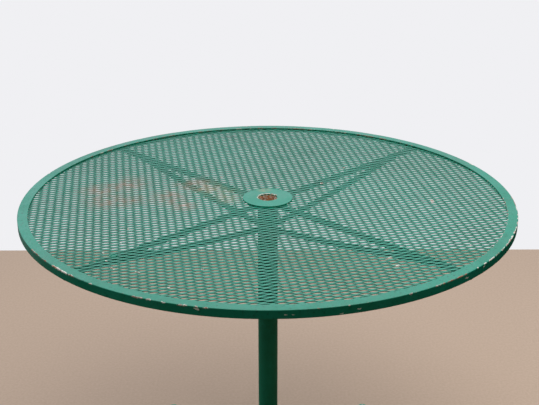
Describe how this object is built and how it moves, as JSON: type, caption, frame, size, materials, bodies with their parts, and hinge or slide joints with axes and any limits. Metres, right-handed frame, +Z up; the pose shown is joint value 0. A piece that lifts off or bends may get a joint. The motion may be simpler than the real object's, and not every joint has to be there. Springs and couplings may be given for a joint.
{
  "type": "round pedestal garden table",
  "caption": "Round painted-steel garden table: expanded-metal top in a rolled rim on braced arms, one tube post with an umbrella hole, and a braced foot on levelling glides.",
  "frame": {"origin": "on the floor under the post's axis, which is the bottom centre of the bounding box", "axes": "+Z up along the post; -Y is the front, away from the umbrella clamp screw; +X to the right seen from the front"},
  "size_m": [1.0668, 1.0668, 0.724],
  "materials": {
    "green_paint": "satin, worn, with small rust spots and chips",
    "zinc_steel": "dull zinc plate",
    "black_plastic": "matte moulded plastic"
  },
  "bodies": {
    "frame": {"top_rim": "green_paint", "mesh_panel": "green_paint", "hub_plate": "green_paint", "post_tube": "green_paint", "pole_stop": "green_paint", "clamp_boss": "green_paint", "arm_front_left": "green_paint", "arm_brace_front_left": "green_paint", "foot_front_left": "green_paint", "foot_brace_front_left": "green_paint", "glide_boss_front_left": "green_paint", "arm_front_right": "green_paint", "arm_brace_front_right": "green_paint", "foot_front_right": "green_paint", "foot_brace_front_right": "green_paint", "glide_boss_front_right": "green_paint", "arm_back_right": "green_paint", "arm_brace_back_right": "green_paint", "foot_back_right": "green_paint", "foot_brace_back_right": "green_paint", "glide_boss_back_right": "green_paint", "arm_back_left": "green_paint", "arm_brace_back_left": "green_paint", "foot_back_left": "green_paint", "foot_brace_back_left": "green_paint", "glide_boss_back_left": "green_paint"},
    "glide_front_left": {"glide_stem_front_left": "zinc_steel", "glide_pad_front_left": "black_plastic"},
    "glide_front_right": {"glide_stem_front_right": "zinc_steel", "glide_pad_front_right": "black_plastic"},
    "glide_back_right": {"glide_stem_back_right": "zinc_steel", "glide_pad_back_right": "black_plastic"},
    "glide_back_left": {"glide_stem_back_left": "zinc_steel", "glide_pad_back_left": "black_plastic"},
    "clamp_screw": {"clamp_screw": "zinc_steel"}
  },
  "joints": [
    {"name": "glide_front_left_height", "type": "slide", "parent": "frame", "child": "glide_front_left", "axis": [0, 0, -1], "range_m": [0, 0.01]},
    {"name": "glide_front_right_height", "type": "slide", "parent": "frame", "child": "glide_front_right", "axis": [0, 0, -1], "range_m": [0, 0.01]},
    {"name": "glide_back_right_height", "type": "slide", "parent": "frame", "child": "glide_back_right", "axis": [0, 0, -1], "range_m": [0, 0.01]},
    {"name": "glide_back_left_height", "type": "slide", "parent": "frame", "child": "glide_back_left", "axis": [0, 0, -1], "range_m": [0, 0.01]},
    {"name": "clamp_screw_travel", "type": "slide", "parent": "frame", "child": "clamp_screw", "axis": [0, 1, 0], "range_m": [-0.0075, 0.012]}
  ]
}
